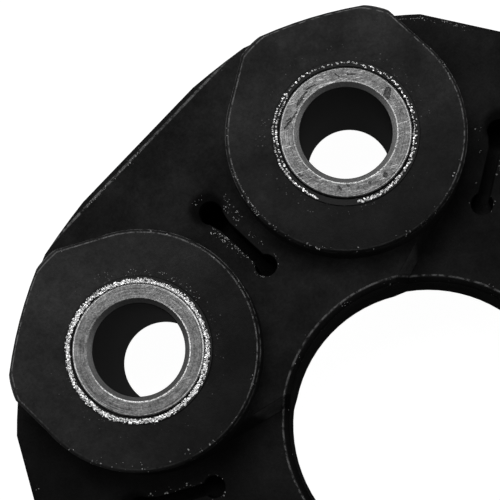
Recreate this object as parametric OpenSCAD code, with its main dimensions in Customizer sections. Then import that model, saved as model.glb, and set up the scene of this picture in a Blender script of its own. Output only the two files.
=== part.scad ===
// Driveshaft flex disc: a moulded rubber disc with six bolt sleeves.
// Cord loops wound round each pair of neighbouring sleeves carry the
// pull. Two loops run in each thick segment and one in each thin one.
// The disc lies on the XY plane with its axis on Z and its middle at z = 0.

/* [Disc] */
// Radius of the bolt circle
bolt_circle_r = 39; // [38:0.5:41]
// Radius of the centre hole
hole_r = 18.8; // [17.5:0.1:19]
// Radius of the thick segments on the middle plane
thick_r = 56.8; // [56.5:0.1:57]
// Radius of the thin segments on the middle plane
thin_r = 56; // [55.8:0.1:56.1]
// Distance from the axis to a thick segment's flat on the middle plane
thick_flat = 54.6; // [54.4:0.1:54.8]
// Half the length of that flat
flat_half = 10.8; // [10:0.2:11.6]
// Radius of the blunt corners at the ends of that flat
blunt_r = 107; // [104:1:110]
// Distance from the axis to a thin segment's flat on the middle plane
thin_flat = 54.2; // [53.8:0.1:54.4]
// Draft of the moulded outer walls, in degrees
draft = 4; // [2:0.5:5]

/* [Segments] */
// Half the thickness of a thick segment
thick_half = 9.5; // [9.5:0.1:10.5]
// Half the thickness of a thin segment
thin_half = 6; // [5.8:0.1:6.5]
// Rounding of the outer edges of the segments
edge_round = 1; // [0.6:0.1:1.2]
// Rounding of the rim of the centre hole
rim_round = 1; // [0.6:0.1:1.2]
// How far past the sleeve's radius the thick segment steps down at the hole
step_shift = 0.4; // [0:0.1:0.8]
// Angle between the line of that step and the sleeve's radius
step_turn = 45; // [42:1:48]
// Lean of that step from upright, in degrees
step_lean = 20; // [15:1:22]

/* [Pads] */
// Radius of the pad round each sleeve, at its top
pad_r = 15.85; // [15.6:0.05:16]
// Half the height over the pads
pad_half = 14.5; // [14:0.1:14.6]
// Draft of the pad walls, in degrees
pad_draft = 1; // [0.5:0.5:2]
// Rounding of the pad edges
pad_round = 0.5; // [0.4:0.1:0.9]
// Reach of a pad's outer wall from the disc axis, on the middle plane
pad_outer = 56.25; // [56.2:0.05:56.4]
// Angle between a pad flank and the radius through its sleeve
flank_angle = 30; // [26:1:32]
// Reach of the pad's outer corners from the sleeve axis
corner_r = 17.3; // [17.1:0.1:17.6]

/* [Slots] */
// Distance from the axis to the outer lobe of a slot
slot_outer = 40.2; // [39:0.1:40.6]
// Distance from the axis to the inner lobe of a slot
slot_inner = 30; // [29:0.1:31]
// Radius of the outer lobe
lobe_outer_r = 1.6; // [1.2:0.1:1.8]
// Radius of the inner lobe
lobe_inner_r = 1.5; // [1.2:0.1:1.7]
// Width of the waist between the lobes
waist_w = 1.65; // [1.2:0.05:1.8]
// Length over which the outer lobe narrows to the waist
lobe_taper = 4; // [3:0.2:5]
// Rubber left between the slots of the two faces
slot_web = 3; // [2:0.5:5]

/* [Sleeves] */
// Length of a sleeve
sleeve_len = 30; // [30:0.5:32]
// Outer radius of a sleeve
sleeve_r = 8.65; // [8.4:0.05:8.65]
// Radius of the bolt bore
bore_r = 6.05; // [5.55:0.05:6.1]
// Chamfer at the ends of the bore
bore_chamfer = 0.65; // [0.4:0.05:0.8]
// Chamfer on the outer edge of the ends
sleeve_chamfer = 0.15; // [0.1:0.05:0.2]

/* [Collars] */
// Rubber film between sleeve and collar
film = 0.2; // [0.2:0.05:0.3]
// Wall of the drawn collar
collar_wall = 0.75; // [0.6:0.05:0.8]
// How far the collar end stands below the sleeve end
collar_sink = 0.3; // [0.2:0.05:0.4]

/* [Cord loops] */
// Radial build-up of a loop
cord_w = 3.7; // [3:0.1:3.8]
// Height of the single loop in a thin segment
thin_cord_h = 8.8; // [8:0.1:8.8]
// Height of each loop in a thick segment
thick_cord_h = 4; // [3.4:0.1:4]
// Rubber between one loop and the next
cord_gap = 0.4; // [0.3:0.05:0.5]

/* [Hidden] */
$fn = 96;
bolts = 6;
pitch = 360 / bolts;
far = 80;
// Walls that run into each other differ by a hair in reach and rounding, so
// that no two faces fall on each other and no four edges meet in a point.
hair = 0.05;
round_steps = 4;
collar_in = sleeve_r + film;
collar_r = collar_in + collar_wall;
cord_r = collar_r + cord_w;
flange_r = cord_r - 0.5;
stack_half = thin_cord_h / 2 + cord_gap + thick_cord_h;
collar_low = stack_half + cord_gap;
collar_top = sleeve_len / 2 - collar_sink;
silver = [0.66, 0.65, 0.63];
bright = [0.80, 0.79, 0.76];
black = [0.09, 0.09, 0.09];
twine = [0.62, 0.56, 0.44];

// Sleeve 1 is the first one past the +X axis.
function bolt_angle(i) = pitch * (i - 0.5);
// Thick segments lie between sleeves 6 and 1, 2 and 3, 4 and 5.
function thick_angle(i) = 2 * pitch * (i - 1);
function thin_angle(i) = pitch + 2 * pitch * (i - 1);

// Reach of a pad wall on the middle plane, from its reach at the pad's top.
function foot(reach) = reach + pad_half * tan(pad_draft);
// Point beside the sleeve at +30 degrees: along its radius, and off it on the
// side away from the thick segment.
function beside(along, off) = [
    along * cos(pitch / 2) - off * sin(pitch / 2),
    along * sin(pitch / 2) + off * cos(pitch / 2)
];

// Points along an arc, from one angle to another.
function arc(c, r, from, to) = [
    for (k = [0:round_steps])
        let (a = from + (to - from) * k / round_steps) c + r * [cos(a), sin(a)]
];

// Moves children from the disc axis out to a sleeve.
module at_bolt(i) rotate(bolt_angle(i)) translate([bolt_circle_r, 0, 0]) children();

// Half section of a drafted wall: flat faces at +half and -half, the wall
// widest at z = 0, and both outer edges rounded.
module wall_section(reach, half, round, tilt) {
    level = half - round;
    back = reach - level * tan(tilt) - round / cos(tilt);
    edge = arc([back, level], round, tilt, 90);
    polygon([
        [0, half], [0, -half],
        for (k = [len(edge) - 1:-1:0]) [edge[k][0], -edge[k][1]],
        [reach, 0],
        each edge
    ]);
}

// Round block with that wall.
module wall_disc(reach, half, round, tilt = draft)
    rotate_extrude() wall_section(reach, half, round, tilt);

// Half block with that wall facing +X, long in Y.
module wall_block(reach, half, round, tilt)
    translate([0, far, 0]) rotate([90, 0, 0]) linear_extrude(2 * far) union() {
        wall_section(reach, half, round, tilt);
        translate([-far, -half]) square([far + 0.01, 2 * half]);
    }

// Bar with that wall on both sides, long in Y.
module wall_bar(ahead, behind, half, round)
    translate([0, far, 0]) rotate([90, 0, 0]) linear_extrude(2 * far) union() {
        wall_section(ahead, half, round, draft);
        mirror([1, 0]) wall_section(behind, half, round, draft);
    }

// Outline of the thin segments, a circle with six flats. Under the thick
// segments it keeps inside their walls.
module thin_outline() intersection() {
    wall_disc(thin_r, thin_half, edge_round);
    wall_bar(thick_flat - 0.4, thin_flat, thin_half, edge_round - hair);
    rotate(2 * pitch) wall_bar(thick_flat - 0.4, thin_flat, thin_half, edge_round - hair);
    rotate(4 * pitch) wall_bar(thick_flat - 0.4, thin_flat, thin_half, edge_round - hair);
}

// Outline of a thick segment, centred on +X: a flat whose ends run into a wide
// curve, and the disc's circle under the pads.
module thick_outline() intersection() {
    wall_disc(thick_r, thick_half, edge_round);
    wall_block(thick_flat, thick_half, edge_round - hair, draft);
    translate([thick_flat - sqrt(pow(blunt_r, 2) - pow(flat_half, 2)), 0, 0])
        wall_disc(blunt_r, thick_half, edge_round);
}

// Rounded rims of the centre hole in a segment of one thickness. The hole
// itself is cut through the whole body afterwards.
module rim_cut(half) {
    reach = hole_r + rim_round - hair;
    rim = arc([reach, half - rim_round], rim_round, 180, 90);
    both_faces() rotate_extrude() polygon([
        [0, half + 1], [0, rim[0][1]], each rim, [reach, half + 1]
    ]);
}

// Plan of a thick segment, centred on +X. It ends under the pads beside it.
module thick_plan() {
    near = beside(26.5, 10);
    end = beside(60, 4);
    polygon([[0, 0], near, end, [far, end[1]], [far, -end[1]], [end[0], -end[1]], [near[0], -near[1]]]);
}

// A thick segment's share of the disc. Between hole and pad it steps down to
// the thin segment along a slanted line, with a leaning face.
module thick_sector() {
    lean = tan(step_lean);
    module side() translate(beside(hole_r, step_shift)) rotate(pitch / 2 + step_turn)
        rotate([90, 0, 90]) linear_extrude(2 * far, center = true) polygon([
            [-far, -far], [-far, far],
            [-lean, thick_half + 1], [thick_half * lean, 0], [-lean, -thick_half - 1]
        ]);
    intersection() {
        linear_extrude(2 * far, center = true) thick_plan();
        side();
        mirror([0, 1, 0]) side();
    }
}

// Pad round a sleeve at the origin, whose radius from the disc axis is +X.
// The outer part tapers between two flanks to the disc's outer wall.
module pad_blank() {
    wall_disc(foot(pad_r), pad_half, pad_round, pad_draft);
    intersection() {
        rotate(90 - flank_angle) wall_block(foot(pad_r) - hair, pad_half, pad_round - hair, pad_draft);
        rotate(flank_angle - 90) wall_block(foot(pad_r) - hair, pad_half, pad_round - hair, pad_draft);
        wall_disc(foot(corner_r), pad_half + 2, pad_round, pad_draft);
        translate([-bolt_circle_r, 0, 0]) wall_disc(pad_outer, pad_half, pad_round + hair);
        translate([pad_r * sin(flank_angle), -far, -far]) cube(2 * far);
    }
}

module pads() for (i = [1:bolts]) at_bolt(i) pad_blank();

// Dumbbell slot in one face of a segment, centred on +X. The outer lobe narrows
// to the waist like a drop.
module slot_cut(half) translate([0, 0, slot_web / 2]) linear_extrude(half) {
    wide = 0.92 * lobe_outer_r;
    slim = 0.3 * waist_w;
    translate([slot_outer, 0]) circle(lobe_outer_r);
    polygon([
        [slot_outer, wide], [slot_outer, -wide],
        [slot_outer - lobe_taper, -slim], [slot_outer - lobe_taper, slim]
    ]);
    translate([slot_inner, 0]) circle(lobe_inner_r);
    translate([slot_inner, -waist_w / 2]) square([slot_outer - slot_inner, waist_w]);
}

module both_faces() {
    children();
    mirror([0, 0, 1]) children();
}

// Drawn collar of one face: a tube round the sleeve with a flange that
// holds the cord stack.
module collar_shape() rotate_extrude() {
    translate([collar_in, collar_low]) square([collar_wall, collar_top - collar_low]);
    translate([collar_in, collar_low]) square([flange_r - collar_in, collar_wall]);
}

// Cord loop round the sleeves at both ends of a segment centred on +X.
module loop_shape(low, height) {
    mid = bolt_circle_r * cos(pitch / 2);
    reach = bolt_circle_r * sin(pitch / 2);
    module track(r) {
        for (s = [-1, 1]) translate([mid, s * reach]) circle(r);
        translate([mid - r, -reach]) square([2 * r, 2 * reach]);
    }
    translate([0, 0, low]) linear_extrude(height) difference() {
        track(cord_r);
        track(collar_r);
    }
}

module thick_loop_shape() loop_shape(stack_half - thick_cord_h, thick_cord_h);
module thin_loop_shape() loop_shape(-thin_cord_h / 2, thin_cord_h);

// Moulded body: segments and pads, less everything set into them.
module rubber_body() color(black) difference() {
    union() {
        difference() {
            thin_outline();
            rim_cut(thin_half);
        }
        for (i = [1:bolts / 2]) rotate(thick_angle(i)) difference() {
            intersection() {
                thick_sector();
                thick_outline();
            }
            rim_cut(thick_half);
        }
        pads();
    }
    cylinder(h = 2 * far, r = hole_r, center = true);
    for (i = [1:bolts / 2]) {
        rotate(thick_angle(i)) both_faces() {
            slot_cut(thick_half);
            thick_loop_shape();
        }
        rotate(thin_angle(i)) {
            both_faces() slot_cut(thin_half);
            thin_loop_shape();
        }
    }
    for (i = [1:bolts]) at_bolt(i) {
        cylinder(h = 2 * far, r = sleeve_r, center = true);
        both_faces() collar_shape();
    }
}

// Turned steel sleeve with a chamfered bolt bore.
module sleeve(i) color(silver) at_bolt(i) rotate_extrude() {
    end = sleeve_len / 2;
    polygon([
        [bore_r, -end + bore_chamfer], [bore_r + bore_chamfer, -end],
        [sleeve_r - sleeve_chamfer, -end], [sleeve_r, -end + sleeve_chamfer],
        [sleeve_r, end - sleeve_chamfer], [sleeve_r - sleeve_chamfer, end],
        [bore_r + bore_chamfer, end], [bore_r, end - bore_chamfer]
    ]);
}

module collar_top(i) color(bright) at_bolt(i) collar_shape();
module collar_bottom(i) color(bright) at_bolt(i) mirror([0, 0, 1]) collar_shape();

module cord_thick_top(i) color(twine) rotate(thick_angle(i)) thick_loop_shape();
module cord_thick_bottom(i) color(twine) rotate(thick_angle(i)) mirror([0, 0, 1]) thick_loop_shape();
module cord_thin(i) color(twine) rotate(thin_angle(i)) thin_loop_shape();

rubber_body();
for (i = [1:bolts]) {
    sleeve(i);
    collar_top(i);
    collar_bottom(i);
}
for (i = [1:bolts / 2]) {
    cord_thick_top(i);
    cord_thick_bottom(i);
    cord_thin(i);
}
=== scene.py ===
"""Looks of a driveshaft flex disc: moulded rubber, turned sleeves, torn collar edges and a plain studio."""

import logging
import math
from dataclasses import dataclass, field
from enum import Enum
from functools import reduce
from typing import Any

import bpy
import numpy as np
from mathutils import Euler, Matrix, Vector


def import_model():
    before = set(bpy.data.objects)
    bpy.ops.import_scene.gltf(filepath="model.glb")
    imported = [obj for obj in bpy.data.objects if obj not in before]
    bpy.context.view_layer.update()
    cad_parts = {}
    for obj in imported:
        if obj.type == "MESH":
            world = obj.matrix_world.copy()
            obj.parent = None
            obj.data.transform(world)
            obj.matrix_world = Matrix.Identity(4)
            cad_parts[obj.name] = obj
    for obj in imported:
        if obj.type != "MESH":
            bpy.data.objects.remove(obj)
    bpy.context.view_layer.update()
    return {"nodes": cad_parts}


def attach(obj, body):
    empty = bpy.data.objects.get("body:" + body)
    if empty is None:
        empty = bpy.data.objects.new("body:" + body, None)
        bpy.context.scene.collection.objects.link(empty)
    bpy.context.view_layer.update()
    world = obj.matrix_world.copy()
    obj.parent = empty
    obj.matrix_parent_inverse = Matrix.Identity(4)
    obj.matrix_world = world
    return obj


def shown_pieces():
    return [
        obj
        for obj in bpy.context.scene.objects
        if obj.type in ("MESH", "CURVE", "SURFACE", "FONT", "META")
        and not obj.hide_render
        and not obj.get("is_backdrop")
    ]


log = logging.getLogger("flex_disc")

# Sizes are in millimetres, and MM turns them into Blender's metres
MM = 0.001
SECTORS = 6
PITCH = math.pi / 3
BOLT_CIRCLE = 39.0
RIM_R = 18.8
SLEEVE_R = 8.65
PAD_R = 15.85

# Heights above the middle plane
PAD_TOP = 14.5
THICK_TOP = 9.5
THIN_TOP = 6.0

# Directions across the disc, named as they lie in the photograph
UPWARD = (0.286, 0.95)
DOWNWARD = (-0.286, -0.95)
LEFTWARD = (-0.957, 0.279)
LOW_RIGHT = (0.47, -0.86)


def bolt_centre(number: int) -> tuple[float, float]:
    """Centre of sleeve `number`, counted from 1, in millimetres."""
    angle = PITCH * (number - 0.5)
    return BOLT_CIRCLE * math.cos(angle), BOLT_CIRCLE * math.sin(angle)


class Side(Enum):
    """The two faces of the disc, as the sign of z."""

    TOP = 1
    BOTTOM = -1


# Node building

class NodeBench:
    """A material's node tree with one short method for each kind of node used here."""

    def __init__(self, name: str) -> None:
        """Start an empty material.

        Args:
            name: the material's name.
        """
        self.material = bpy.data.materials.new(name)
        self.material.use_nodes = True
        self.tree = self.material.node_tree
        self.tree.nodes.clear()

    def add(self, kind: str, **settings: Any) -> bpy.types.Node:
        """Add a node and set its properties.

        Args:
            kind: the node's type name.
            settings: properties of the node.

        Returns:
            The new node.
        """
        node = self.tree.nodes.new(kind)
        for key, value in settings.items():
            setattr(node, key, value)
        return node

    def feed(self, socket: bpy.types.NodeSocket, value: Any) -> None:
        """Link a socket into another, or set a plain value on it.

        Args:
            socket: the input socket.
            value: the socket that feeds it, or its value.
        """
        if isinstance(value, bpy.types.NodeSocket):
            self.tree.links.new(value, socket)
        else:
            socket.default_value = value

    def math(self, operation: str, *values: Any, clamp: bool = False) -> bpy.types.NodeSocket:
        """One Math node.

        Args:
            operation: the node's operation.
            values: sockets or numbers for its inputs.
            clamp: whether the result is held between 0 and 1.

        Returns:
            The result socket.
        """
        node = self.add("ShaderNodeMath", operation=operation, use_clamp=clamp)
        for socket, value in zip(node.inputs, values):
            self.feed(socket, value)
        return node.outputs[0]

    def total(self, *values: Any) -> bpy.types.NodeSocket:
        """Sum of sockets and numbers."""
        return reduce(lambda a, b: self.math("ADD", a, b), values)

    def product(self, *values: Any) -> bpy.types.NodeSocket:
        """Product of sockets and numbers."""
        return reduce(lambda a, b: self.math("MULTIPLY", a, b), values)

    def highest(self, *values: Any) -> bpy.types.NodeSocket:
        """The largest of sockets and numbers."""
        return reduce(lambda a, b: self.math("MAXIMUM", a, b), values)

    def minus(self, a: Any, b: Any) -> bpy.types.NodeSocket:
        """`a` less `b`."""
        return self.math("SUBTRACT", a, b)

    def over(self, a: Any, b: Any) -> bpy.types.NodeSocket:
        """`a` divided by `b`."""
        return self.math("DIVIDE", a, b)

    def size(self, a: Any) -> bpy.types.NodeSocket:
        """`a` without its sign."""
        return self.math("ABSOLUTE", a)

    def length(self, x: Any, y: Any) -> bpy.types.NodeSocket:
        """Length of a flat vector."""
        return self.math("SQRT", self.total(self.product(x, x), self.product(y, y)))

    def toward(self, x: Any, y: Any, way: tuple[float, float]) -> bpy.types.NodeSocket:
        """How far a flat vector reaches along a direction."""
        return self.total(self.product(x, way[0]), self.product(y, way[1]))

    def place(self, centre: tuple[float, float, float] = (0.0, 0.0, 0.0)) -> bpy.types.NodeSocket:
        """Object coordinates in millimetres, counted from a centre.

        Args:
            centre: the new origin, in millimetres.

        Returns:
            The vector socket.
        """
        here = self.add("ShaderNodeTexCoord").outputs["Object"]
        mapping = self.add("ShaderNodeMapping")
        self.feed(mapping.inputs["Vector"], here)
        mapping.inputs["Scale"].default_value = (1 / MM, 1 / MM, 1 / MM)
        mapping.inputs["Location"].default_value = tuple(-c for c in centre)
        return mapping.outputs[0]

    def parts(self, vector: Any) -> tuple[bpy.types.NodeSocket, ...]:
        """Take a vector apart.

        Args:
            vector: the vector socket.

        Returns:
            Its x, y and z sockets.
        """
        node = self.add("ShaderNodeSeparateXYZ")
        self.feed(node.inputs[0], vector)
        return tuple(node.outputs)

    def joined(self, x: Any, y: Any, z: Any) -> bpy.types.NodeSocket:
        """Make a vector.

        Args:
            x: first part, a socket or a number.
            y: second part.
            z: third part.

        Returns:
            The vector socket.
        """
        node = self.add("ShaderNodeCombineXYZ")
        for socket, value in zip(node.inputs, (x, y, z)):
            self.feed(socket, value)
        return node.outputs[0]

    def noise(self, vector: Any, scale: float, detail: float, rough: float) -> bpy.types.NodeSocket:
        """Smooth noise, about 0.5 on average.

        Args:
            vector: the coordinates.
            scale: features per unit of the coordinates.
            detail: octaves.
            rough: weight of each finer octave.

        Returns:
            The value socket.
        """
        node = self.add("ShaderNodeTexNoise")
        self.feed(node.inputs["Vector"], vector)
        node.inputs["Scale"].default_value = scale
        node.inputs["Detail"].default_value = detail
        node.inputs["Roughness"].default_value = rough
        return node.outputs[0]

    def cells(self, vector: Any, scale: float) -> tuple[bpy.types.NodeSocket, bpy.types.NodeSocket]:
        """Scattered points: the distance to the nearest and that point's random number.

        Args:
            vector: the coordinates.
            scale: points per unit.

        Returns:
            The distance socket and the random socket.
        """
        node = self.add("ShaderNodeTexVoronoi", feature="F1")
        self.feed(node.inputs["Vector"], vector)
        node.inputs["Scale"].default_value = scale
        return node.outputs["Distance"], self.parts(node.outputs["Color"])[0]

    def ramp(self, value: Any, low: float, high: float, start: float = 0.0, end: float = 1.0,
             soft: bool = True) -> bpy.types.NodeSocket:
        """Map a value from one range to another and hold it there.

        Args:
            value: the value socket.
            low: value that gives `start`.
            high: value that gives `end`.
            start: result at `low`.
            end: result at `high`.
            soft: whether the ends ease in and out.

        Returns:
            The result socket.
        """
        if low > high:
            low, high, start, end = high, low, end, start
        node = self.add("ShaderNodeMapRange", interpolation_type="SMOOTHSTEP" if soft else "LINEAR", clamp=True)
        self.feed(node.inputs["Value"], value)
        node.inputs["From Min"].default_value = low
        node.inputs["From Max"].default_value = high
        node.inputs["To Min"].default_value = start
        node.inputs["To Max"].default_value = end
        return node.outputs[0]

    def band(self, value: Any, middle: float, half: float, soft: float) -> bpy.types.NodeSocket:
        """1 within `half` of `middle`, falling to 0 over `soft`."""
        return self.ramp(self.size(self.minus(value, middle)), half + soft, half)

    def mix(self, factor: Any, a: Any, b: Any) -> bpy.types.NodeSocket:
        """Blend of two colours.

        Args:
            factor: 0 gives `a`, 1 gives `b`.
            a: first colour, as a socket or three numbers.
            b: second colour, as a socket or three numbers.

        Returns:
            The colour socket.
        """
        node = self.add("ShaderNodeMix", data_type="RGBA")
        self.feed(node.inputs[0], factor)
        for socket, value in ((node.inputs[6], a), (node.inputs[7], b)):
            self.feed(socket, value if isinstance(value, bpy.types.NodeSocket) else (*value, 1.0))
        return node.outputs[2]

    def blend(self, factor: Any, a: Any, b: Any) -> bpy.types.NodeSocket:
        """Blend of two numbers.

        Args:
            factor: 0 gives `a`, 1 gives `b`.
            a: first number or socket.
            b: second number or socket.

        Returns:
            The value socket.
        """
        node = self.add("ShaderNodeMix", data_type="FLOAT")
        for socket, value in ((node.inputs[0], factor), (node.inputs[2], a), (node.inputs[3], b)):
            self.feed(socket, value)
        return node.outputs[0]

    def grey(self, value: Any) -> bpy.types.NodeSocket:
        """Make a grey.

        Args:
            value: its tone.

        Returns:
            The colour socket.
        """
        node = self.add("ShaderNodeCombineColor")
        for socket in node.inputs:
            self.feed(socket, value)
        return node.outputs[0]

    def relief(self, height: Any, depth: float, rounding: float = 0.0) -> bpy.types.NodeSocket:
        """Normal of a small relief, on edges that read as rounded.

        Args:
            height: the relief's height, 0 to 1.
            depth: height of 1, in millimetres.
            rounding: radius over which the edges' normals are eased, in millimetres.

        Returns:
            The normal socket.
        """
        bump = self.add("ShaderNodeBump")
        bump.inputs["Distance"].default_value = depth * MM
        self.feed(bump.inputs["Height"], height)
        if rounding:
            bevel = self.add("ShaderNodeBevel", samples=8)
            bevel.inputs["Radius"].default_value = rounding * MM
            self.feed(bump.inputs["Normal"], bevel.outputs[0])
        return bump.outputs[0]

    def finish(self, **sockets: Any) -> bpy.types.Material:
        """Close the tree with one Principled shader.

        Args:
            sockets: values or links for the shader, with `_` for a space.

        Returns:
            The material.
        """
        shader = self.add("ShaderNodeBsdfPrincipled")
        for key, value in sockets.items():
            self.feed(shader.inputs[key.replace("_", " ")], value)
        out = self.add("ShaderNodeOutputMaterial")
        self.tree.links.new(shader.outputs[0], out.inputs["Surface"])
        return self.material


# Finishes

@dataclass(frozen=True)
class RubberSpot:
    """Sockets that tell where on the moulded body a point lies, shared by the masks of its finish.

    `height` is counted from the middle plane, `r` from the disc's axis and `boss` from the nearest sleeve's axis.
    `edge` and `flat` are distances past the edges of the nearest pad and flat. The rest are masks and noises from 0
    to 1.
    """

    place: Any
    x: Any
    y: Any
    height: Any
    r: Any
    boss: Any
    edge: Any
    flat: Any
    on_pad: Any
    on_wall: Any
    slot_shade: Any
    cloud: Any
    fine: Any
    patch: Any
    broken: Any


@dataclass(frozen=True)
class MouldedRubber:
    """Black moulded rubber with pale dust and painted light: webs and pads painted paler towards the light, painted
    highlights with scuffed edges, and painted shade in the hole and round the slots.

    The tones are shares of light that come back, `flank` is the direction square to a pad's flank, and the `_dust`
    values are the shares of points that carry a speck. The `_span` values are the places between which a tone changes.
    """

    name: str = "moulded_rubber"
    web: float = 0.0042
    pad: float = 0.0085
    step_face_light: float = 0.034
    scuff_and_highlight: float = 0.115
    dust: float = 0.22
    web_rough: float = 0.78
    pad_rough: float = 0.58
    gloss: float = 0.12
    pad_r: float = PAD_R
    pad_top: float = PAD_TOP
    flank: tuple[float, float] = (0.5, 0.866)
    corner_r: float = 17.3
    outer_r: float = 55.35
    rim_r: float = RIM_R
    thick_top: float = THICK_TOP
    thin_top: float = THIN_TOP
    thick_edge: float = 53.1
    thin_edge: float = 52.9
    step_half: float = 4.0
    step_outer: float = 27.0
    slot_end: float = 41.0
    slot_shade_r: float = 1.7
    slot_shade_fade: float = 1.2
    dust_ring_r: float = 10.2
    edge_dust: float = 0.34
    flat_dust: float = 0.3
    stray_dust: float = 0.05
    ring_dust: float = 0.42
    uplight_span: tuple[float, float] = (-10.0, 48.0)
    web_shade_span: tuple[float, float] = (32.0, 20.0)
    pad_light_span: tuple[float, float] = (26.0, 54.0)
    top_line: float = -0.46
    side_line: float = -0.02
    flat_line: float = -0.06
    rim_line: float = 0.85

    def fold(self, n: NodeBench, x: Any, y: Any, turn: float) -> tuple[Any, Any]:
        """Fold the six-fold disc onto one sector.

        Args:
            n: the bench.
            x: x in millimetres.
            y: y in millimetres.
            turn: angle of the first sector's middle line, in radians.

        Returns:
            Distance along the sector's middle line, and off it.
        """
        r = n.length(x, y)
        a = n.minus(n.math("ARCTAN2", y, x), turn)
        a = n.minus(a, n.product(n.math("ROUND", n.over(a, PITCH)), PITCH))
        return n.product(r, n.math("COSINE", a)), n.product(r, n.math("SINE", a))

    def specks(self, n: NodeBench, place: Any, scale: float, amount: Any) -> Any:
        """Scattered grains: 1 inside a grain.

        Args:
            n: the bench.
            place: coordinates in millimetres.
            scale: points per millimetre.
            amount: share of points that carry a grain, 0 to 1.

        Returns:
            The mask socket.
        """
        growth, widest, soft = 0.9, 0.34, 0.06
        near, chance = n.cells(place, scale)
        size = n.product(n.minus(amount, chance), growth)
        size = n.math("MINIMUM", n.highest(size, 0.0), widest)
        return n.ramp(n.minus(size, near), -soft, soft)

    def pad_edge(self, n: NodeBench, x: Any, y: Any) -> tuple[Any, Any]:
        """Distance past the edge of the nearest pad's top, and from its sleeve's axis.

        Args:
            n: the bench.
            x: x in millimetres.
            y: y in millimetres.

        Returns:
            The signed distance, below 0 on the pad, and the distance from the sleeve's axis.
        """
        along, off = self.fold(n, x, y, PITCH / 2)
        along, off = n.minus(along, BOLT_CIRCLE), n.size(off)
        boss = n.length(along, off)
        flank = n.minus(n.toward(along, off, self.flank), self.pad_r)
        outside = n.math("GREATER_THAN", n.product(along, self.flank[1]), n.product(off, self.flank[0]))
        edge = n.blend(outside, n.minus(boss, self.pad_r), flank)
        return n.highest(edge, n.minus(boss, self.corner_r), n.minus(n.length(x, y), self.outer_r)), boss

    def flat_edge(self, n: NodeBench, x: Any, y: Any) -> Any:
        """Distance past the top edge of the nearest segment's flat, thick or thin by turns."""
        thick = n.math("GREATER_THAN", n.math("COSINE", n.product(n.math("ARCTAN2", y, x), SECTORS / 2)), 0.0)
        return n.minus(self.fold(n, x, y, 0.0)[0], n.blend(thick, self.thin_edge, self.thick_edge))

    def painted_slot_shade(self, n: NodeBench, x: Any, y: Any) -> Any:
        """Painted shade round the outer end of each slot, where the rubber is also duller: up to 0.8 beside the slot.
        """
        along, off = self.fold(n, x, y, 0.0)
        return n.ramp(n.length(n.minus(along, self.slot_end), off), self.slot_shade_r + self.slot_shade_fade, self.slot_shade_r, 0.0, 0.8)

    def spot(self, n: NodeBench) -> RubberSpot:
        """Work out the shared sockets once.

        Args:
            n: the bench.

        Returns:
            The sockets.
        """
        place = n.place()
        x, y, z = n.parts(place)
        height, r = n.size(z), n.length(x, y)
        edge, boss = self.pad_edge(n, x, y)
        return RubberSpot(
            place=place, x=x, y=y, height=height, r=r, boss=boss, edge=edge,
            flat=self.flat_edge(n, x, y),
            on_pad=n.ramp(height, self.pad_top - 0.9, self.pad_top - 0.1),
            on_wall=n.ramp(r, self.rim_r + 0.75, self.rim_r + 0.5),
            slot_shade=self.painted_slot_shade(n, x, y),
            cloud=n.noise(place, scale=0.12, detail=4.0, rough=0.6),
            fine=n.noise(place, scale=3.0, detail=4.0, rough=0.6),
            patch=n.ramp(n.noise(place, scale=0.35, detail=3.0, rough=0.6), 0.45, 0.62),
            broken=n.ramp(n.noise(place, scale=1.3, detail=4.0, rough=0.65), 0.36, 0.6),
        )

    def step(self, n: NodeBench, s: RubberSpot) -> Any:
        """Where the leaning step between a thick and a thin segment shows: 1 on its face, which is painted lighter to
        stand in for light on that shaded face.

        Args:
            n: the bench.
            s: the place on the body.

        Returns:
            The mask socket.
        """
        along, off = self.fold(n, s.x, s.y, PITCH / 2)
        near = n.product(n.ramp(n.size(off), self.step_half + 1.0, self.step_half),
                         n.ramp(along, self.rim_r + 0.6, self.rim_r + 1.2),
                         n.ramp(along, self.step_outer + 1.0, self.step_outer))
        middle, half = (self.thick_top + self.thin_top) / 2, (self.thick_top - self.thin_top) / 2
        return n.product(near, n.band(s.height, middle, half - 0.15, 0.12))

    def facing(self, n: NodeBench, s: RubberSpot) -> Any:
        """How far a place lies towards the upper side of the nearest pad, from -1 to 1.

        Args:
            n: the bench.
            s: the place on the body.

        Returns:
            The value socket.
        """
        sector = n.math("ROUND", n.over(n.minus(n.math("ARCTAN2", s.y, s.x), PITCH / 2), PITCH))
        angle = n.total(n.product(sector, PITCH), PITCH / 2)
        dx = n.minus(s.x, n.product(n.math("COSINE", angle), BOLT_CIRCLE))
        dy = n.minus(s.y, n.product(n.math("SINE", angle), BOLT_CIRCLE))
        return n.over(n.toward(dx, dy, UPWARD), n.length(dx, dy))

    def dust_mask(self, n: NodeBench, s: RubberSpot) -> Any:
        """Pale specks along the pads' edges, the hole's rim and the flats, few elsewhere, and faint round the sleeves.

        Args:
            n: the bench.
            s: the place on the body.

        Returns:
            The mask socket.
        """
        pads = n.product(n.band(s.edge, -0.2, 0.3, 0.5), n.ramp(s.height, self.pad_top - 2.3, self.pad_top - 0.5),
                         s.patch, self.edge_dust)
        rim = n.product(n.band(s.r, self.rim_r + 0.5, 0.4, 0.9), s.patch,
                        n.ramp(s.height, self.thin_top - 1.4, self.thin_top - 0.6), self.edge_dust)
        flats = n.product(n.band(s.flat, 0.0, 0.3, 0.8), s.patch, self.flat_dust)
        stray = n.product(n.ramp(s.cloud, 0.42, 0.7), self.stray_dust)
        amount = n.total(pads, rim, flats, stray)
        sleeves = n.product(n.band(s.boss, self.dust_ring_r, 0.9, 1.8), s.on_pad,
                            n.ramp(s.patch, 0.0, 1.0, 0.35, 1.0), self.ring_dust)
        return n.highest(self.specks(n, s.place, 2.6, amount), self.specks(n, s.place, 4.6, amount),
                         n.product(self.specks(n, s.place, 3.4, sleeves), 0.3))

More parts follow.
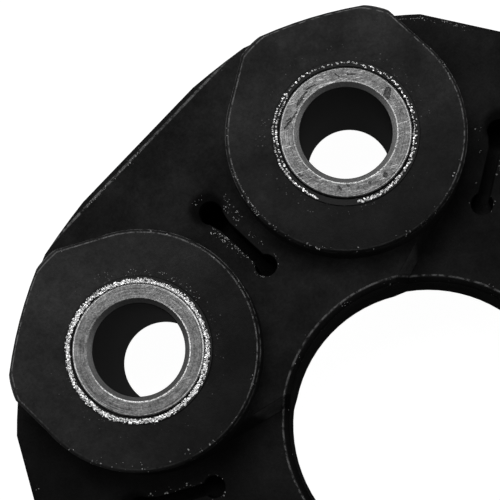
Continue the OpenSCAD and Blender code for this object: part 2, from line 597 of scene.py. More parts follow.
    def scuff_and_highlight_mask(self, n: NodeBench, s: RubberSpot) -> Any:
        """Painted highlights with rubbed lines: two along each pad's edge, fainter on its lower side away from the
        light, one on each flat and one on the rim.

        Args:
            n: the bench.
            s: the place on the body.

        Returns:
            The mask socket.
        """
        # Painted highlight, partly rubbed wear: pale lines along the pads' edges.
        pads = n.highest(n.band(s.edge, self.top_line, 0.04, 0.08),
                         n.product(n.band(s.edge, self.side_line, 0.05, 0.09), 0.85))
        # Painted highlight: the pads' edge lines fade on the side away from the light.
        pads = n.product(pads, n.ramp(self.facing(n, s), -0.8, -0.1, 0.12, 1.0),
                         n.ramp(s.height, self.pad_top - 1.0, self.pad_top - 0.6))
        flats = n.product(n.band(s.flat, self.flat_line, 0.08, 0.16),
                          n.ramp(s.height, self.thick_top - 1.1, self.thick_top - 0.6),
                          n.ramp(s.height, self.thick_top + 2.5, self.thick_top + 1.5))
        rim = n.product(n.band(s.r, self.rim_r + self.rim_line, 0.05, 0.12), 0.85)
        return n.product(n.highest(pads, flats, rim), s.broken)

    def bare_tone(self, n: NodeBench, s: RubberSpot) -> Any:
        """Tone of clean rubber with painted light and shade: webs paler upward, paler towards the hole and darker on
        the thin segments, pads paler outward, a painted pale step face and painted shade round the slots' ends, all
        clouded.

        Args:
            n: the bench.
            s: the place on the body.

        Returns:
            The tone socket.
        """
        # Painted light: the webs grow paler towards the upper side of the disc, as if lit from above.
        painted_uplight = n.ramp(n.toward(s.x, s.y, UPWARD), *self.uplight_span, 0.7, 2.0, soft=False)
        # Painted shade: the webs darken away from the hole, near the tall pads, and on the lower thin segments.
        web = n.product(n.ramp(s.r, *self.web_shade_span, 1.0, 1.5),
                        n.ramp(s.height, self.thin_top + 0.2, self.thick_top - 0.3, 0.75, 1.1), painted_uplight, self.web)
        # Painted light: the pads grow paler outward.
        pad = n.product(n.ramp(s.r, *self.pad_light_span, 0.25, 1.9, soft=False), self.pad)
        # Painted light: the shaded step face gets a much paler tone than the webs beside it.
        tone = n.blend(self.step(n, s), n.blend(s.on_pad, web, pad), self.step_face_light)
        mottle = n.noise(s.place, scale=0.8, detail=4.0, rough=0.65)
        # Painted shade darkens the tone round the slots' outer ends.
        return n.product(tone, n.ramp(s.cloud, 0.25, 0.75, 0.4, 1.6, soft=False),
                         n.ramp(s.fine, 0.2, 0.8, 0.6, 1.4, soft=False),
                         n.ramp(mottle, 0.25, 0.75, 0.65, 1.35, soft=False), n.minus(1.0, s.slot_shade))

    def material(self) -> bpy.types.Material:
        """Lay painted highlights with scuffs, painted shade on the hole's wall and dust over the bare rubber in turn.

        Returns:
            The material.
        """
        n = NodeBench(self.name)
        s = self.spot(n)
        dust = self.dust_mask(n, s)
        # Painted highlights with scuffs, laid over the bare tone.
        tone = n.blend(self.scuff_and_highlight_mask(n, s), self.bare_tone(n, s), self.scuff_and_highlight)
        # Painted shade: the hole's wall and its rounding are darkened.
        tone = n.product(tone, n.ramp(s.on_wall, 0.0, 1.0, 1.0, 0.3))
        tone = n.blend(dust, tone, self.dust)
        rough = n.total(n.blend(s.on_pad, self.web_rough, self.pad_rough), n.ramp(s.fine, 0.2, 0.8, 0.04, -0.04),
                        n.ramp(s.cloud, 0.25, 0.75, 0.08, -0.08), n.product(dust, 0.2), n.product(s.slot_shade, 0.25),
                        n.product(s.on_wall, 0.15))
        grain = n.noise(s.place, scale=9.0, detail=2.0, rough=0.6)
        relief = n.total(n.product(grain, 0.3), n.product(s.fine, 0.4), n.product(dust, 0.8))
        return n.finish(Base_Color=n.grey(tone), Roughness=rough, Normal=n.relief(relief, 0.08, rounding=0.3),
                        Specular_IOR_Level=self.gloss)


@dataclass(frozen=True)
class Scar:
    """A straight dark mark on a sleeve's end: its two ends and half its width, in millimetres from the bore's axis."""

    start: tuple[float, float]
    end: tuple[float, float]
    half: float
    fade: float = 0.08

    def mask(self, n: NodeBench, x: Any, y: Any) -> Any:
        """1 on the mark, falling off beside it.

        Args:
            n: the bench.
            x: x from the bore's axis.
            y: y from the bore's axis.

        Returns:
            The mask socket.
        """
        dx, dy = self.end[0] - self.start[0], self.end[1] - self.start[1]
        px, py = n.minus(x, self.start[0]), n.minus(y, self.start[1])
        t = n.math("DIVIDE", n.toward(px, py, (dx, dy)), dx * dx + dy * dy, clamp=True)
        off = n.length(n.minus(px, n.product(t, dx)), n.minus(py, n.product(t, dy)))
        return n.ramp(off, self.half + self.fade, self.half)


@dataclass(frozen=True)
class SleeveSpot:
    """Sockets that tell where on a sleeve a point lies, counted from its bore's axis, and the noises of its steel."""

    place: Any
    x: Any
    y: Any
    r: Any
    rings: Any
    streak: Any
    wide: Any
    fine: Any

    def bearing(self, n: NodeBench, way: tuple[float, float]) -> Any:
        """How far the point lies towards a direction, from -1 to 1."""
        return n.over(n.toward(self.x, self.y, way), self.r)


@dataclass(frozen=True)
class TurnedSteel:
    """Turned steel of one sleeve: streaks round the bore, a painted highlight on a broken lip, a dull chamfer with
    painted light towards the bottom, and painted shade in the bore.

    `streaks` are counted per millimetre of radius, and `lays` are the two angles of the scratches in radians.
    """

    name: str
    centre: tuple[float, float]
    seed: float
    face: float = 0.155
    scratched: float = 0.2
    scars: tuple[Scar, ...] = ()
    chamfer: float = 0.3
    lip: float = 0.8
    far_lip: float = 0.0
    bore: float = 0.02
    scratch_tone: float = 0.75
    torn_tone: float = 0.7
    scar_tone: float = 0.02
    streaks: float = 8.0
    lays: tuple[float, float] = (0.4, 1.7)
    scratch_scale: tuple[float, float, float] = (0.5, 7.0, 0.5)
    bore_r: float = 6.05
    chamfer_r: float = 6.7
    sleeve_r: float = SLEEVE_R

    def spot(self, n: NodeBench) -> SleeveSpot:
        """Work out the shared sockets once. The streaks are noise stretched round the bore.

        Args:
            n: the bench.

        Returns:
            The sockets.
        """
        place = n.place((*self.centre, 0.0))
        x, y, _ = n.parts(place)
        r = n.length(x, y)
        rings = n.joined(n.product(r, self.streaks), n.total(n.over(x, r), self.seed), n.over(y, r))
        return SleeveSpot(
            place=place, x=x, y=y, r=r, rings=rings,
            streak=n.noise(rings, scale=1.0, detail=5.0, rough=0.7),
            wide=n.noise(place, scale=0.6, detail=4.0, rough=0.65),
            fine=n.noise(place, scale=4.5, detail=4.0, rough=0.7),
        )

    def scratches(self, n: NodeBench, place: Any) -> Any:
        """Fine straight scratches two ways: 1 on a scratch.

        Args:
            n: the bench.
            place: coordinates in millimetres.

        Returns:
            The mask socket.
        """
        out: Any = 0.0
        for turn in self.lays:
            lay = n.add("ShaderNodeMapping")
            n.feed(lay.inputs["Vector"], place)
            lay.inputs["Rotation"].default_value = (0.0, 0.0, turn + self.seed)
            lay.inputs["Scale"].default_value = self.scratch_scale
            out = n.highest(out, n.ramp(n.noise(lay.outputs[0], scale=1.0, detail=3.0, rough=0.6), 0.62, 0.7))
        return out

    def scar_mask(self, n: NodeBench, s: SleeveSpot) -> Any:
        """All dark marks, with their outlines made uneven by the steel's noises.

        Args:
            n: the bench.
            s: the place on the sleeve.

        Returns:
            The mask socket, or 0 where there are none.
        """
        uneven = 0.3
        x = n.total(s.x, n.product(s.fine, uneven), -uneven / 2)
        y = n.total(s.y, n.product(s.wide, uneven), -uneven / 2)
        return reduce(n.highest, (scar.mask(n, x, y) for scar in self.scars), 0.0)

    def lip_highlight_mask(self, n: NodeBench, s: SleeveSpot) -> Any:
        """Painted highlight: bright dots on the chamfer's lip, mostly at the lower right, and on the outer rim at both
        sides.

        Args:
            n: the bench.
            s: the place on the sleeve.

        Returns:
            The mask socket.
        """
        dots = n.ramp(n.noise(s.place, scale=5.0, detail=3.0, rough=0.7), 0.4, 0.55)
        lip = n.product(n.band(s.r, self.chamfer_r + 0.07, 0.04, 0.08), dots,
                        n.ramp(s.bearing(n, LOW_RIGHT), -0.7, 0.5, self.far_lip, 1.0))
        rim = n.product(n.band(s.r, self.sleeve_r - 0.17, 0.05, 0.08), n.ramp(s.fine, 0.35, 0.6, 0.2, 0.9),
                        n.ramp(n.size(s.bearing(n, LEFTWARD)), 0.3, 0.9, 0.25, 1.0))
        return n.highest(lip, rim)

    def material(self) -> bpy.types.Material:
        """Lay scratches, torn streaks, scars, the lip's painted highlight, the chamfer's painted light and the bore's
        painted shade over the turned face in turn.

        Returns:
            The material.
        """
        n = NodeBench(self.name)
        s = self.spot(n)
        tone = n.product(self.face, n.ramp(s.streak, 0.3, 0.72, 0.2, 1.8, soft=False),
                         n.ramp(s.wide, 0.3, 0.7, 0.75, 1.2), n.ramp(s.fine, 0.3, 0.75, 0.5, 1.55))
        tone = n.blend(n.product(self.scratches(n, s.place), self.scratched), tone, self.scratch_tone)
        torn = n.ramp(n.noise(s.rings, scale=1.7, detail=6.0, rough=0.8), 0.56, 0.66)
        tone = n.blend(n.product(torn, n.ramp(s.wide, 0.42, 0.6), self.scratched), tone, self.torn_tone)
        dark = self.scar_mask(n, s)
        tone = n.blend(n.product(dark, n.ramp(s.fine, 0.3, 0.6, 1.0, 0.75)), tone, self.scar_tone)
        # Painted highlight on the lip and the outer rim.
        tone = n.blend(self.lip_highlight_mask(n, s), tone, self.lip)
        on_chamfer = n.ramp(s.r, self.chamfer_r + 0.02, self.chamfer_r - 0.04)
        # Painted light: the chamfer is painted brighter towards the bottom, where it faces the light.
        low = n.ramp(s.bearing(n, DOWNWARD), -1.0, 0.6, 0.42, 1.15, soft=False)
        tone = n.blend(on_chamfer, tone, n.product(self.chamfer, low, n.ramp(s.fine, 0.3, 0.7, 0.8, 1.2)))
        # Painted shade: the bore is made near black, painted lighter towards one side.
        in_bore = n.ramp(s.r, self.bore_r + 0.1, self.bore_r + 0.04)
        tone = n.blend(in_bore, tone, n.product(self.bore, n.ramp(s.bearing(n, LEFTWARD), -0.5, 0.95, 0.55, 2.2)))
        rough = n.blend(on_chamfer, n.ramp(s.streak, 0.3, 0.7, 0.36, 0.52), 0.5)
        relief = n.total(n.product(s.streak, 0.6), n.product(s.fine, 0.4), n.product(dark, -1.0))
        return n.finish(Base_Color=n.grey(tone), Metallic=1.0, Roughness=rough,
                        Normal=n.relief(relief, 0.035, rounding=0.1))


@dataclass(frozen=True)
class TornSteel:
    """Bright grains of a sheared collar edge."""

    name: str = "torn_collar_edge"
    bright: float = 1.0
    dull: float = 0.22
    metal: float = 0.8

    def material(self) -> bpy.types.Material:
        """Mottle the grains between dull and bright.

        Returns:
            The material.
        """
        n = NodeBench(self.name)
        fine = n.noise(n.place(), scale=4.0, detail=3.0, rough=0.65)
        tone = n.ramp(fine, 0.33, 0.47, self.dull, self.bright)
        return n.finish(Base_Color=n.grey(tone), Metallic=self.metal, Roughness=n.ramp(fine, 0.3, 0.7, 0.42, 0.28),
                        Normal=n.relief(fine, 0.04))


@dataclass(frozen=True)
class RubberCrumb:
    """Pale torn crumbs and mould flash of the rubber."""

    name: str = "rubber_crumb"
    pale: float = 0.19

    def material(self) -> bpy.types.Material:
        """Mottle the crumbs from dark to pale.

        Returns:
            The material.
        """
        n = NodeBench(self.name)
        fine = n.noise(n.place(), scale=3.0, detail=3.0, rough=0.65)
        tone = n.product(n.ramp(fine, 0.35, 0.65, 0.15, 2.0), self.pale)
        return n.finish(Base_Color=n.grey(tone), Roughness=n.ramp(fine, 0.2, 0.8, 0.55, 0.75),
                        Normal=n.relief(fine, 0.05))


@dataclass(frozen=True)
class DrawnSteel:
    """Pressed collar steel, smeared with rubber."""

    name: str = "drawn_collar_steel"
    smeared: float = 0.008
    gloss: float = 0.2

    def material(self) -> bpy.types.Material:
        """Lay a smear of rubber over most of the steel.

        Returns:
            The material.
        """
        n = NodeBench(self.name)
        place = n.place()
        fine = n.noise(place, scale=4.0, detail=4.0, rough=0.65)
        smear = n.ramp(n.noise(place, scale=0.9, detail=3.0, rough=0.6), 0.22, 0.27)
        tone = n.blend(smear, n.ramp(fine, 0.3, 0.7, 0.3, 0.6), self.smeared)
        return n.finish(Base_Color=n.grey(tone), Metallic=n.minus(1.0, smear), Roughness=n.blend(smear, 0.38, 0.6),
                        Normal=n.relief(fine, 0.05), Specular_IOR_Level=self.gloss)


@dataclass(frozen=True)
class WoundCord:
    """Cord turns wound side by side, dipped before moulding."""

    name: str = "wound_cord"
    pitch: float = 0.75
    brown: tuple[float, float, float] = (0.30, 0.24, 0.15)
    straw: tuple[float, float, float] = (0.52, 0.45, 0.33)
    groove: tuple[float, float, float] = (0.06, 0.05, 0.03)

    def material(self) -> bpy.types.Material:
        """Stack the turns as waves along z, with dark grooves between them.

        Returns:
            The material.
        """
        n = NodeBench(self.name)
        place = n.place()
        turn = n.math("SINE", n.product(n.parts(place)[2], 2 * math.pi / self.pitch))
        fibre = n.noise(place, scale=2.5, detail=5.0, rough=0.7)
        tone = n.mix(n.ramp(fibre, 0.3, 0.7), self.brown, self.straw)
        tone = n.mix(n.ramp(turn, -1.0, -0.5, 0.7, 0.0), tone, self.groove)
        relief = n.total(n.product(turn, 0.4), n.product(fibre, 0.4))
        return n.finish(Base_Color=tone, Roughness=n.ramp(fibre, 0.2, 0.8, 0.6, 0.85), Normal=n.relief(relief, 0.2))


@dataclass(frozen=True)
class PaleFloor:
    """Pale studio floor that reads white to the camera and still takes a soft shadow."""

    name: str = "pale_floor"
    glow: float = 0.985
    mirrored: float = 0.06
    matte: float = 0.14

    def material(self) -> bpy.types.Material:
        """Add a glow, for rays that see the floor, to a matte grey that takes the shadow.

        Returns:
            The material.
        """
        n = NodeBench(self.name)
        path = n.add("ShaderNodeLightPath")
        seen = n.highest(path.outputs["Is Camera Ray"], n.product(path.outputs["Is Glossy Ray"], self.mirrored),
                         path.outputs["Is Transmission Ray"])
        cloud = n.noise(n.place(), scale=0.004, detail=2.0, rough=0.5)
        matte = n.add("ShaderNodeBsdfDiffuse")
        n.feed(matte.inputs["Color"], n.grey(n.ramp(cloud, 0.3, 0.7, self.matte, self.matte + 0.02)))
        light = n.add("ShaderNodeEmission")
        n.feed(light.inputs["Strength"], n.product(seen, self.glow))
        both = n.add("ShaderNodeAddShader")
        n.feed(both.inputs[0], matte.outputs[0])
        n.feed(both.inputs[1], light.outputs[0])
        out = n.add("ShaderNodeOutputMaterial")
        n.feed(out.inputs["Surface"], both.outputs[0])
        return n.material


# Shapes worked out with numpy

def grains(name: str, centres: np.ndarray, sizes: np.ndarray, turn: np.ndarray, seed: int) -> bpy.types.Object:
    """One piece made of many small crumbs.

    Each crumb is a ball over two angles, a ring of six points above its middle, one below it and two poles, squeezed
    by its three sizes, turned about z and roughened by moving each point in or out.

    Args:
        name: the object's name.
        centres: crumbs by 3, in millimetres.
        sizes: crumbs by 3, half the length, width and height in millimetres.
        turn: angle of each crumb's length, in radians.
        seed: seed of the roughness.

    Returns:
        The new object.
    """
    rng = np.random.default_rng(seed)
    count, around, twist = len(centres), 6, 0.5
    high, low = np.radians(38.0), np.radians(-22.0)
    innermost, outermost = 0.72, 1.2
    u = np.arange(around) * 2 * np.pi / around
    v = u + twist
    ball = np.concatenate([
        [[0.0, 0.0, 1.0]],
        np.stack([np.cos(u) * np.cos(high), np.sin(u) * np.cos(high), np.full(around, np.sin(high))], -1),
        np.stack([np.cos(v) * np.cos(low), np.sin(v) * np.cos(low), np.full(around, np.sin(low))], -1),
        [[0.0, 0.0, -1.0]],
    ])
    turn = turn[:, None]
    shape = ball[None] * sizes[:, None, :] * rng.uniform(innermost, outermost, (count, len(ball), 1))
    x = shape[..., 0] * np.cos(turn) - shape[..., 1] * np.sin(turn)
    y = shape[..., 0] * np.sin(turn) + shape[..., 1] * np.cos(turn)
    points = np.stack([x, y, shape[..., 2]], -1) + centres[:, None, :]
    k = np.arange(around)
    k2 = (k + 1) % around
    caps = np.concatenate([np.stack([np.zeros(around, int), 1 + k, 1 + k2], -1),
                           np.stack([np.full(around, 2 * around + 1), around + 1 + k2, around + 1 + k], -1)])
    belt = np.stack([1 + k, around + 1 + k, around + 1 + k2, 1 + k2], -1)
    first = np.arange(count)[:, None, None] * len(ball)
    faces = (caps[None] + first).reshape(-1, 3).tolist() + (belt[None] + first).reshape(-1, 4).tolist()
    mesh = bpy.data.meshes.new(name)
    mesh.from_pydata((points.reshape(-1, 3) * MM).tolist(), [], faces)
    mesh.update()
    obj = bpy.data.objects.new(name, mesh)
    bpy.context.scene.collection.objects.link(obj)
    return obj


# Sub-assemblies

def paint(obj: bpy.types.Object, material: bpy.types.Material) -> None:
    """Put one material on every slot of an object.

    Args:
        obj: the object.
        material: its material.
    """
    if not obj.material_slots:
        obj.data.materials.append(material)
    for slot in obj.material_slots:
        slot.material = material


@dataclass
class MouldedBody:
    """The moulded rubber body."""

    node: str = "rubber_body"
    finish: MouldedRubber = field(default_factory=MouldedRubber)

    def dress(self, nodes: dict[str, bpy.types.Object]) -> None:
        """Give the CAD body its rubber."""
        paint(nodes[self.node], self.finish.material())


@dataclass
class Sleeves:
    """The six turned sleeves, one of them worn."""

    worn: int = 2
    seed_step: float = 3.7
    scars: tuple[Scar, ...] = (
        Scar((-7.44, 2.78), (-5.3, 4.4), 0.05), Scar((-6.9, 3.6), (-6.3, 3.9), 0.05),
        Scar((-4.75, 5.35), (-3.95, 6.05), 0.06), Scar((6.85, 3.7), (6.45, 2.9), 0.36),
        Scar((3.29, -6.92), (3.3, -6.9), 0.25), Scar((-7.35, -3.6), (-7.1, -3.9), 0.06),
        Scar((-2.95, -6.6), (-2.7, -7.1), 0.09), Scar((-1.75, -6.65), (-1.65, -6.95), 0.09),
        Scar((1.05, -7.3), (1.2, -7.25), 0.1), Scar((-5.1, 5.0), (-4.7, 5.75), 0.02),
        Scar((-4.7, 5.75), (-3.4, 6.6), 0.04), Scar((-3.3, 6.9), (-2.0, 7.2), 0.02),
        Scar((0.9, 7.8), (1.3, 7.3), 0.01), Scar((2.4, 7.3), (3.4, 7.0), 0.01),
    )

    def finish(self, number: int) -> TurnedSteel:
        """Finish of one sleeve, centred on its own bore.

        Args:
            number: the sleeve's number.

        Returns:
            The finish.
        """
        name, centre, seed = f"turned_steel_{number}", bolt_centre(number), self.seed_step * number
        if number == self.worn:
            return TurnedSteel(name, centre, seed, face=0.13, scratched=0.5, scars=self.scars, chamfer=0.5, lip=0.5,
                               far_lip=0.35)
        return TurnedSteel(name, centre, seed)

    def dress(self, nodes: dict[str, bpy.types.Object]) -> None:
        """Give each CAD sleeve its finish."""
        for number in range(1, SECTORS + 1):
            paint(nodes[f"sleeve_{number}"], self.finish(number).material())


@dataclass(frozen=True)
class TornArc:
    """Grains along part of a collar's edge.

    They run from one angle to another in degrees, between two radii, so many per degree.
    """

    start: float
    end: float
    inner: float
    outer: float
    density: float


@dataclass
class Collars:
    """The drawn collars and the torn, grainy edge that shows round each sleeve.

    `rise` is how far a grain's middle stands above what carries it, as a share of its size. `wave` and `ripple` are how
    far the edge strays in and out, and how often in a turn. `turn_step` and `side_turn` turn the hidden edges apart.
    """

    worn: int = 2
    whole: int = 3
    seed_step: int = 40
    turn_step: float = 77.0
    side_turn: float = 140.0
    wave: tuple[float, int] = (0.05, 9)
    ripple: tuple[float, int] = (0.03, 23)
    level: float = 14.7
    pad_level: float = PAD_TOP
    collar_r: float = 9.6
    sleeve_r: float = SLEEVE_R
    clearance: float = 0.05
    rise: float = 0.35
    grain: tuple[float, float] = (0.08, 0.17)
    bead: tuple[float, float] = (0.1, 0.19)
    broken_edge: tuple[TornArc, ...] = (
        TornArc(130, 200, 8.92, 9.02, 0.5), TornArc(130, 200, 9.34, 9.46, 0.5), TornArc(196, 231, 9.24, 9.44, 1.1),
        TornArc(264, 304, 9.0, 9.4, 2.0), TornArc(304, 329, 9.0, 9.3, 0.9), TornArc(326, 368, 8.95, 9.05, 0.55),
        TornArc(329, 364, 9.2, 9.5, 0.25), TornArc(4, 60, 9.0, 9.4, 0.6), TornArc(60, 134, 9.15, 9.42, 0.45),
    )
    full_edge: tuple[TornArc, ...] = (TornArc(0, 360, 8.84, 9.26, 3.3), TornArc(0, 360, 9.2, 9.45, 0.8))

    def arcs(self, number: int, side: Side) -> tuple[tuple[TornArc, ...], float, tuple[float, float]]:
        """Arcs of one edge, the angle they are turned by, and how far off centre the edge lies.

        Args:
            number: the sleeve's number.
            side: which face.

        Returns:
            The arcs, the turn in degrees and the shift in millimetres.
        """
        if side is Side.TOP and number == self.worn:
            return self.broken_edge, 0.0, (-0.06, 0.0)
        if side is Side.TOP and number == self.whole:
            return self.full_edge, 0.0, (-0.2, -0.12)
        turn = self.turn_step * number + self.side_turn * side.value
        return (self.broken_edge if (number + side.value) % 3 else self.full_edge), turn, (0.05, -0.04)

    def edge(self, number: int, side: Side) -> bpy.types.Object:
        """Torn edge of one collar: grains spread along its arcs, waved in and out, resting on the collar or the pad.

        Args:
            number: the sleeve's number.
            side: which face.

        Returns:
            The new piece.
        """
        seed = self.seed_step * number + side.value
        rng = np.random.default_rng(seed)
        arcs, turn, shift = self.arcs(number, side)
        spans = [(a, int((a.end - a.start) * a.density)) for a in arcs]
        angle = np.radians(np.concatenate([a.start + (np.arange(k) + rng.uniform(0.1, 0.9, k)) * (a.end - a.start) / k
                                           for a, k in spans]) + turn)
        r = np.concatenate([rng.uniform(a.inner, a.outer, k) for a, k in spans])
        (wave, waves), (ripple, ripples) = self.wave, self.ripple
        r = r + wave * np.sin(waves * angle + number) + ripple * np.sin(ripples * angle)
        size = rng.uniform(*(self.bead if arcs is self.broken_edge else self.grain), len(r))
        cx, cy = bolt_centre(number)
        x, y = r * np.cos(angle) + shift[0], r * np.sin(angle) + shift[1]
        clear = np.maximum(1.0, (self.sleeve_r + 0.6 * size + self.clearance) / np.hypot(x, y))
        x, y = x * clear, y * clear
        level = np.where(np.hypot(x, y) < self.collar_r, self.level, self.pad_level) + self.rise * size
        centres = np.stack([cx + x, cy + y, level * side.value], -1)
        sizes = np.stack([size * rng.uniform(0.8, 1.3, len(r)), size, 0.9 * size], -1)
        lie = angle + np.pi / 2 + rng.normal(0, 0.5, len(r))
        return grains(f"collar_edge_{side.name.lower()}_{number}", centres, sizes, lie, seed + 1)

    def dress(self, nodes: dict[str, bpy.types.Object]) -> None:
        """Paint the CAD collars and add the torn edges.

        Args:
            nodes: the CAD nodes by name.
        """
        steel, torn = DrawnSteel().material(), TornSteel().material()
        for side in Side:
            for number in range(1, SECTORS + 1):
                paint(nodes[f"collar_{side.name.lower()}_{number}"], steel)
                piece = self.edge(number, side)
                piece.data.materials.append(torn)
                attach(piece, "root")


@dataclass(frozen=True)
class CrumbPatch:
    """Crumbs spread evenly over a patch: from one end to the other, between two offsets, and how many."""

    start: float
    end: float
    near: float
    far: float
    count: int


@dataclass
class RubberCrumbs:
    """Torn crumbs and flash along the slots, the flats and the pads' edges.

    Patches beside a slot run along it and are offset from its wall. Those on a flat run across it and are offset from
    the disc's axis. Those on a pad run round it in degrees and are offset inward from its edge. `rise` is how far a
    crumb's middle stands above what carries it, as a share of its size.
    """

    slot_seed: int = 5
    pad_seed: int = 15
    rough_seed: int = 9
    size: tuple[float, float] = (0.035, 0.13)
    rise: float = 0.35
    thick_top: float = THICK_TOP
    thin_top: float = THIN_TOP
    thin_share: float = 0.25
    edge_round: float = 1.0
    outer: tuple[float, float] = (40.2, 1.6)
    inner: tuple[float, float] = (30.0, 1.5)
    waist: float = 0.825
    taper: float = 4.0
    torn_side: tuple[CrumbPatch, ...] = (
        CrumbPatch(31.2, 39.0, 0.02, 0.3, 48), CrumbPatch(33.0, 38.5, 0.2, 0.9, 28),
        CrumbPatch(28.6, 31.2, 0.02, 0.3, 12),
    )
    loose_side: tuple[CrumbPatch, ...] = (
        CrumbPatch(36.5, 40.5, 0.1, 1.7, 42), CrumbPatch(32.0, 35.0, 0.3, 1.1, 12),
        CrumbPatch(28.6, 31.2, 0.02, 0.4, 8), CrumbPatch(42.2, 43.0, -1.2, 1.2, 6),
    )
    thick_side: tuple[CrumbPatch, ...] = (CrumbPatch(-1.0, 11.0, 52.8, 53.15, 60),)
    thin_side: tuple[CrumbPatch, ...] = (CrumbPatch(7.6, 11.0, 53.0, 53.5, 24), CrumbPatch(13.5, 18.2, 53.0, 53.5, 30))
    thin_arc: float = 54.8
    thick_edge: float = 53.0
    thin_edge: float = 52.85
    pad_r: float = PAD_R
    pad_top: float = PAD_TOP
    pad_round: float = 0.5
    worn_pads: tuple[tuple[int, tuple[CrumbPatch, ...]], ...] = (
        (2, (CrumbPatch(17, 22, 0.1, 0.3, 7), CrumbPatch(185, 245, 0.05, 0.6, 34), CrumbPatch(180, 207, 0.0, 0.6, 44),
             CrumbPatch(150, 185, 0.05, 0.5, 8), CrumbPatch(245, 330, 0.1, 1.0, 16))),
        (3, (CrumbPatch(285, 345, 0.05, 0.8, 20), CrumbPatch(215, 285, 0.1, 1.6, 22), CrumbPatch(20, 70, 0.05, 0.5, 10),
             CrumbPatch(24, 102, 5.2, 6.1, 56))),
    )

    def half_width(self, x: np.ndarray) -> np.ndarray:
        """Half the width of a slot: the widest of its two round lobes and of a waist that tapers out to the outer lobe.

        Args:
            x: distances from the disc's axis.

        Returns:
            Half the width at each.
        """
        (xo, ro), (xi, ri) = self.outer, self.inner
        lobes = np.maximum(np.sqrt(np.maximum(ro ** 2 - (x - xo) ** 2, 0)),
                           np.sqrt(np.maximum(ri ** 2 - (x - xi) ** 2, 0)))
        between = (x > xi) & (x < xo)
        drop = self.waist + (0.92 * ro - self.waist) * np.clip(1 - (xo - x) / self.taper, 0, 1)
        return np.maximum(lobes, np.where(between, drop, 0.0))

    def scatter(self, patches: tuple[CrumbPatch, ...], rng: np.random.Generator) -> np.ndarray:
        """Places in a set of patches, as rows of distance along and offset."""
        return np.concatenate([np.stack([rng.uniform(p.start, p.end, p.count), rng.uniform(p.near, p.far, p.count)], -1)
                               for p in patches])

    def slots(self, side: Side) -> bpy.types.Object:
        """Crumbs beside the six slots and on the flats of one face, resting on the segments and their rounding.

        Args:
            side: which face.

        Returns:
            The new piece.
        """
        rng = np.random.default_rng(self.slot_seed + side.value)
        rows = []
        for segment in range(SECTORS):
            thick = segment % 2 == 0
            hand = 1.0 if thick else -1.0
            torn, loose = self.scatter(self.torn_side, rng), self.scatter(self.loose_side, rng)
            x = np.concatenate([torn[:, 0], loose[:, 0]])
            y = hand * np.concatenate([torn[:, 1] + self.half_width(torn[:, 0]),
                                       -loose[:, 1] - self.half_width(loose[:, 0])])
            kept = rng.uniform(0, 1, len(x)) < (1.0 if thick else self.thin_share)
            edge = self.scatter(self.thick_side if thick else self.thin_side, rng)
            x = np.append(x[kept], np.minimum(edge[:, 1], np.sqrt(self.thin_arc ** 2 - edge[:, 0] ** 2)))
            y = np.append(y[kept], edge[:, 0])
            past = np.clip(x - (self.thick_edge if thick else self.thin_edge), 0, 0.9 * self.edge_round)
            top = self.thick_top if thick else self.thin_top
            z = top - self.edge_round + np.sqrt(self.edge_round ** 2 - past ** 2)
            a = PITCH * segment
            rows.append(np.stack([x * np.cos(a) - y * np.sin(a), x * np.sin(a) + y * np.cos(a), z], -1))
        return self.pile(f"slot_crumbs_{side.name.lower()}", np.concatenate(rows), side, rng)

    def pads(self, side: Side) -> bpy.types.Object:
        """Crumbs on the six pads of one face, resting on their tops and their rounding.

        Args:
            side: which face.

        Returns:
            The new piece.
        """
        rng = np.random.default_rng(self.pad_seed + side.value)
        seen, first = dict(self.worn_pads), self.worn_pads[0][0]
        rows = []
        for number in range(1, SECTORS + 1):
            known = side is Side.TOP and number in seen
            patches = seen[number] if known else self.worn_pads[number % 2][1]
            place = self.scatter(patches, rng)
            a = np.radians(place[:, 0] + (0.0 if known else 360.0 / SECTORS * (number - first)))
            r = self.pad_r - place[:, 1]
            into = np.clip(r - (self.pad_r - self.pad_round), 0, self.pad_round)
            z = self.pad_top - self.pad_round + np.sqrt(self.pad_round ** 2 - into ** 2)
            cx, cy = bolt_centre(number)
            rows.append(np.stack([cx + r * np.cos(a), cy + r * np.sin(a), z], -1))
        return self.pile(f"pad_crumbs_{side.name.lower()}", np.concatenate(rows), side, rng)

    def pile(self, name: str, places: np.ndarray, side: Side, rng: np.random.Generator) -> bpy.types.Object:
        """Crumbs at given places, sunk a little into what carries them. Small ones are the most common.

        Args:
            name: the piece's name.
            places: crumbs by 3, on the surface of the top face.
            side: which face they lie on.
            rng: source of the sizes and turns.

        Returns:
            The new piece.
        """
        size = self.size[0] + (self.size[1] - self.size[0]) * rng.uniform(0, 1, len(places)) ** 3
        centres = places + np.stack([0 * size, 0 * size, self.rise * size], -1)
        centres[:, 2] *= side.value
        sizes = np.stack([size * rng.uniform(0.9, 1.8, len(size)), size, 0.8 * size], -1)
        return grains(name, centres, sizes, rng.uniform(0, 2 * np.pi, len(size)), self.rough_seed)

    def build(self) -> None:
        """Add the crumbs of both faces."""
        material = RubberCrumb().material()
        for side in Side:
            for piece in (self.slots(side), self.pads(side)):
                piece.data.materials.append(material)
                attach(piece, "root")


@dataclass
class CordLoops:
    """The cord loops inside the rubber."""

    prefix: str = "cord_"

    def dress(self, nodes: dict[str, bpy.types.Object]) -> None:
        """Give every loop its wound cord.

        Args:
            nodes: the CAD nodes by name.
        """
        material = WoundCord().material()
        for name, obj in nodes.items():
            if name.startswith(self.prefix):
                paint(obj, material)


# Studio

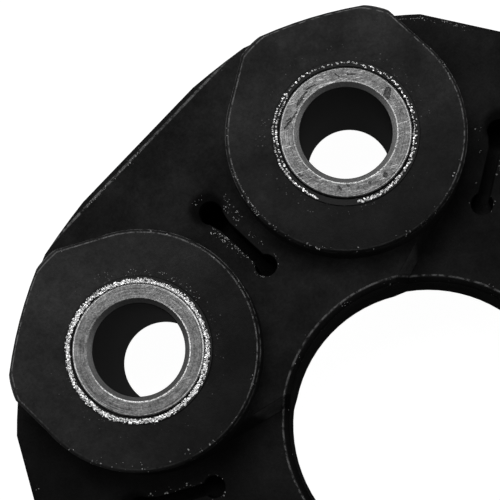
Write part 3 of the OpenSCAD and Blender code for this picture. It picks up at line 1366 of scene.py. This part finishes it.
@dataclass(frozen=True)
class SoftLamp:
    """A square lamp that faces the disc: its angles in degrees, its distance and side in millimetres, and its watts."""

    name: str
    azimuth: float
    elevation: float
    distance: float
    side: float
    power: float

    def hang(self) -> None:
        """Add the lamp to the scene."""
        data = bpy.data.lights.new(self.name, "AREA")
        data.shape, data.size, data.energy = "SQUARE", self.side * MM, self.power
        lamp = bpy.data.objects.new(self.name, data)
        a, e = math.radians(self.azimuth), math.radians(self.elevation)
        way = Vector((math.cos(a) * math.cos(e), math.sin(a) * math.cos(e), math.sin(e)))
        lamp.location = way * self.distance * MM
        lamp.rotation_euler = way.to_track_quat("Z", "Y").to_euler()
        bpy.context.scene.collection.objects.link(lamp)


@dataclass
class Studio:
    """Camera, floor, lamps and world."""

    eye: tuple[float, float, float] = (-8.705, -3.834, 237.03)
    turn: tuple[float, float, float] = (7.2210, 4.1492, -16.2586)
    lens: float = 124.78
    sensor: float = 36.0
    clip: tuple[float, float] = (10.0, 20000.0)
    floor_z: float = -15.02
    floor_half: float = 2500.0
    ambient: float = 0.096
    backdrop: float = 1.0
    lamps: tuple[SoftLamp, ...] = (
        SoftLamp("key_box", 92.0, 62.0, 700.0, 380.0, 2.6),
        SoftLamp("left_box", 165.0, 40.0, 700.0, 360.0, 0.9),
        SoftLamp("right_box", 350.0, 40.0, 700.0, 360.0, 0.9),
    )

    def camera(self) -> None:
        """Place the camera as the photograph was taken."""
        data = bpy.data.cameras.new("photo_camera")
        data.sensor_width = self.sensor
        data.lens = self.lens
        data.clip_start, data.clip_end = (c * MM for c in self.clip)
        cam = bpy.data.objects.new("photo_camera", data)
        cam.location = Vector(self.eye) * MM
        cam.rotation_euler = Euler([math.radians(a) for a in self.turn], "XYZ")
        bpy.context.scene.collection.objects.link(cam)
        bpy.context.scene.camera = cam

    def floor(self) -> None:
        """Lay the floor under the disc."""
        s, z = self.floor_half * MM, self.floor_z * MM
        mesh = bpy.data.meshes.new("floor")
        mesh.from_pydata([(-s, -s, z), (s, -s, z), (s, s, z), (-s, s, z)], [], [(0, 1, 2, 3)])
        obj = bpy.data.objects.new("floor", mesh)
        obj.data.materials.append(PaleFloor().material())
        bpy.context.scene.collection.objects.link(obj)
        obj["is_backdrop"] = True

    def world(self) -> None:
        """Set a dim even world that the camera sees as white."""
        world = bpy.data.worlds.new("studio")
        world.use_nodes = True
        tree = world.node_tree
        tree.nodes.clear()
        path = tree.nodes.new("ShaderNodeLightPath")
        level = tree.nodes.new("ShaderNodeMapRange")
        level.inputs["To Min"].default_value = self.ambient
        level.inputs["To Max"].default_value = self.backdrop
        tree.links.new(path.outputs["Is Camera Ray"], level.inputs["Value"])
        back = tree.nodes.new("ShaderNodeBackground")
        back.inputs["Color"].default_value = (1.0, 1.0, 1.0, 1.0)
        tree.links.new(level.outputs[0], back.inputs["Strength"])
        out = tree.nodes.new("ShaderNodeOutputWorld")
        tree.links.new(back.outputs[0], out.inputs["Surface"])
        bpy.context.scene.world = world

    def build(self) -> None:
        """Set up the whole studio with plain colour output."""
        bpy.context.scene.view_settings.view_transform = "Standard"
        self.camera()
        self.floor()
        for lamp in self.lamps:
            lamp.hang()
        self.world()


def main() -> None:
    """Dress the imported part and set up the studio."""
    logging.basicConfig(level=logging.INFO, format="%(name)s: %(message)s")
    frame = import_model()
    nodes = frame["nodes"]
    MouldedBody().dress(nodes)
    Sleeves().dress(nodes)
    Collars().dress(nodes)
    CordLoops().dress(nodes)
    RubberCrumbs().build()
    Studio().build()
    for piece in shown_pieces():
        log.info("piece %s", piece.name)


if __name__ == "__main__":
    main()
